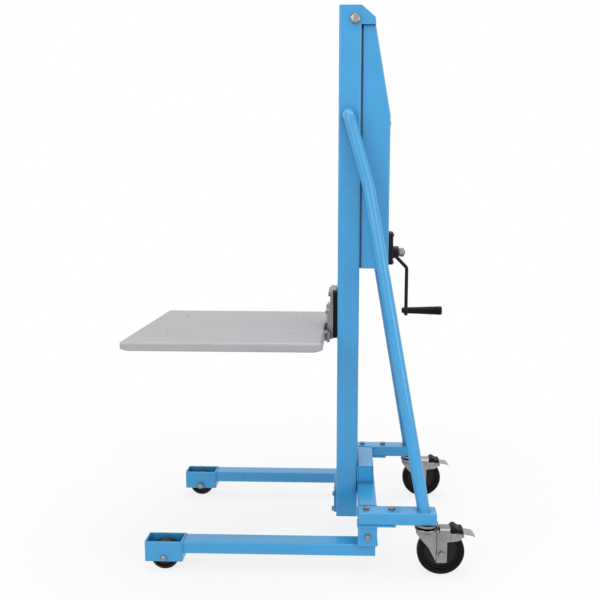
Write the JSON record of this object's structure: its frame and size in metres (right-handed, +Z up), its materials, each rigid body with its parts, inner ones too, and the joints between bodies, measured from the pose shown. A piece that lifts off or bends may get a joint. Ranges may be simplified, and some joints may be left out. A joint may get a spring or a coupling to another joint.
{
  "type": "mini lift trolley",
  "caption": "Hand-cranked lift trolley: a flat platform rides up a channel mast on straddle legs with front rollers and braked swivel castors.",
  "frame": {"origin": "floor level, at the middle of the whole trolley seen from above", "axes": "+Z up along the mast, +X from the platform towards the crank and castors, +Y to the right of a user who stands at the crank"},
  "size_m": [0.9216, 0.58, 1.484],
  "materials": {
    "painted_blue": "glossy powder coat",
    "tray_grey": "satin powder coat",
    "bright_zinc": "bright zinc plate",
    "carriage_steel": "satin",
    "black_steel": "satin black",
    "black_plastic": "moulded",
    "tyre_rubber": "matte",
    "roller_nylon": "moulded",
    "wire_rope": "stranded"
  },
  "bodies": {
    "root": {"leg_left": "painted_blue", "leg_right": "painted_blue", "rail_left": "painted_blue", "rail_right": "painted_blue", "posts": "painted_blue", "cross_beam": "painted_blue", "tube_plugs": "black_plastic", "base_bolts": "bright_zinc", "wheel_boxes": "painted_blue", "roller_axles": "bright_zinc", "mast": "painted_blue", "stop_plate": "painted_blue", "head_cap": "painted_blue", "pulley_axle": "bright_zinc", "pulley_spacers": "bright_zinc", "handle_tube_left": "painted_blue", "handle_tube_right": "painted_blue", "winch_frame": "carriage_steel", "gear_case": "black_steel", "winch_screws": "bright_zinc", "winch_cover": "painted_blue", "cover_straps": "carriage_steel", "rope_back_run": "wire_rope", "rope_front_run": "wire_rope", "castor_plates": "bright_zinc"},
    "head_pulley": {"pulley": "carriage_steel"},
    "drum": {"rope_drum": "carriage_steel", "rope_coils": "wire_rope", "drum_shaft": "carriage_steel", "drum_gear": "carriage_steel"},
    "crank": {"crank_arm": "black_steel", "crank_shaft": "carriage_steel", "crank_nut": "bright_zinc", "grip_spindle": "black_steel"},
    "grip": {"crank_grip": "black_plastic"},
    "carriage": {"carriage_frame": "carriage_steel", "slide_pad": "black_plastic", "carriage_axles": "bright_zinc", "side_pads": "black_plastic", "rope_anchor": "carriage_steel", "platform_bracket": "carriage_steel", "platform": "tray_grey", "platform_bolts": "bright_zinc", "carriage_bolts": "bright_zinc"},
    "guides_lower": {"guide_rollers_lower": "carriage_steel"},
    "guides_upper": {"guide_rollers_upper": "carriage_steel"},
    "roller_left": {"front_roller_left": "roller_nylon"},
    "swivel_left": {"castor_fork_left": "bright_zinc", "castor_bolts_left": "bright_zinc", "brake_cover_left": "black_plastic"},
    "wheel_left": {"castor_rim_left": "roller_nylon", "castor_tyre_left": "tyre_rubber"},
    "pedal_left": {"brake_pedal_left": "bright_zinc"},
    "roller_right": {"front_roller_right": "roller_nylon"},
    "swivel_right": {"castor_fork_right": "bright_zinc", "castor_bolts_right": "bright_zinc", "brake_cover_right": "black_plastic"},
    "wheel_right": {"castor_rim_right": "roller_nylon", "castor_tyre_right": "tyre_rubber"},
    "pedal_right": {"brake_pedal_right": "bright_zinc"}
  },
  "joints": [
    {"name": "lift", "type": "slide", "parent": "root", "child": "carriage", "axis": [0, 0, 1], "range_m": [-0.43, 0.66], "deforming": ["rope_front_run"]},
    {"name": "pulley_spin", "type": "hinge", "parent": "root", "child": "head_pulley", "pos_m": [0.13675, 0, 1.449], "axis": [0, 1, 0], "range_deg": [-901, 1381]},
    {"name": "drum_spin", "type": "hinge", "parent": "root", "child": "drum", "pos_m": [0.16775, 0, 0.86], "axis": [1, 0, 0], "range_deg": [-1546, 1009]},
    {"name": "crank_spin", "type": "hinge", "parent": "root", "child": "crank", "pos_m": [0.24805, 0, 0.83], "axis": [1, 0, 0], "range_deg": [-2347, 3600]},
    {"name": "grip_spin", "type": "hinge", "parent": "crank", "child": "grip", "pos_m": [0.29655, 0, 0.663], "axis": [1, 0, 0], "continuous": true},
    {"name": "lower_guide_spin", "type": "hinge", "parent": "carriage", "child": "guides_lower", "pos_m": [0.12375, 0, 0.62], "axis": [0, 1, 0], "range_deg": [-964, 1477]},
    {"name": "upper_guide_spin", "type": "hinge", "parent": "carriage", "child": "guides_upper", "pos_m": [0.12375, 0, 0.692], "axis": [0, 1, 0], "range_deg": [-1477, 964]},
    {"name": "roller_spin_left", "type": "hinge", "parent": "root", "child": "roller_left", "pos_m": [-0.35925, -0.245, 0.0375], "axis": [0, 1, 0], "continuous": true},
    {"name": "castor_swivel_left", "type": "hinge", "parent": "root", "child": "swivel_left", "pos_m": [0.33375, -0.255, 0.1302], "axis": [0, 0, 1], "continuous": true},
    {"name": "castor_spin_left", "type": "hinge", "parent": "swivel_left", "child": "wheel_left", "pos_m": [0.37175, -0.255, 0.0625], "axis": [0, 1, 0], "continuous": true},
    {"name": "brake_press_left", "type": "hinge", "parent": "swivel_left", "child": "pedal_left", "pos_m": [0.41775, -0.255, 0.114], "axis": [0, 1, 0], "range_deg": [0, 12]},
    {"name": "roller_spin_right", "type": "hinge", "parent": "root", "child": "roller_right", "pos_m": [-0.35925, 0.245, 0.0375], "axis": [0, 1, 0], "continuous": true},
    {"name": "castor_swivel_right", "type": "hinge", "parent": "root", "child": "swivel_right", "pos_m": [0.33375, 0.255, 0.1302], "axis": [0, 0, 1], "continuous": true},
    {"name": "castor_spin_right", "type": "hinge", "parent": "swivel_right", "child": "wheel_right", "pos_m": [0.37175, 0.255, 0.0625], "axis": [0, 1, 0], "continuous": true},
    {"name": "brake_press_right", "type": "hinge", "parent": "swivel_right", "child": "pedal_right", "pos_m": [0.41775, 0.255, 0.114], "axis": [0, 1, 0], "range_deg": [0, 12]}
  ],
  "couplings": [
    {"joint": "pulley_spin", "follows": "lift", "rad_per_m": 36.364},
    {"joint": "drum_spin", "follows": "lift", "rad_per_m": -40.733},
    {"joint": "crank_spin", "follows": "lift", "rad_per_m": 95.044},
    {"joint": "lower_guide_spin", "follows": "lift", "rad_per_m": 38.911},
    {"joint": "upper_guide_spin", "follows": "lift", "rad_per_m": -38.911}
  ]
}
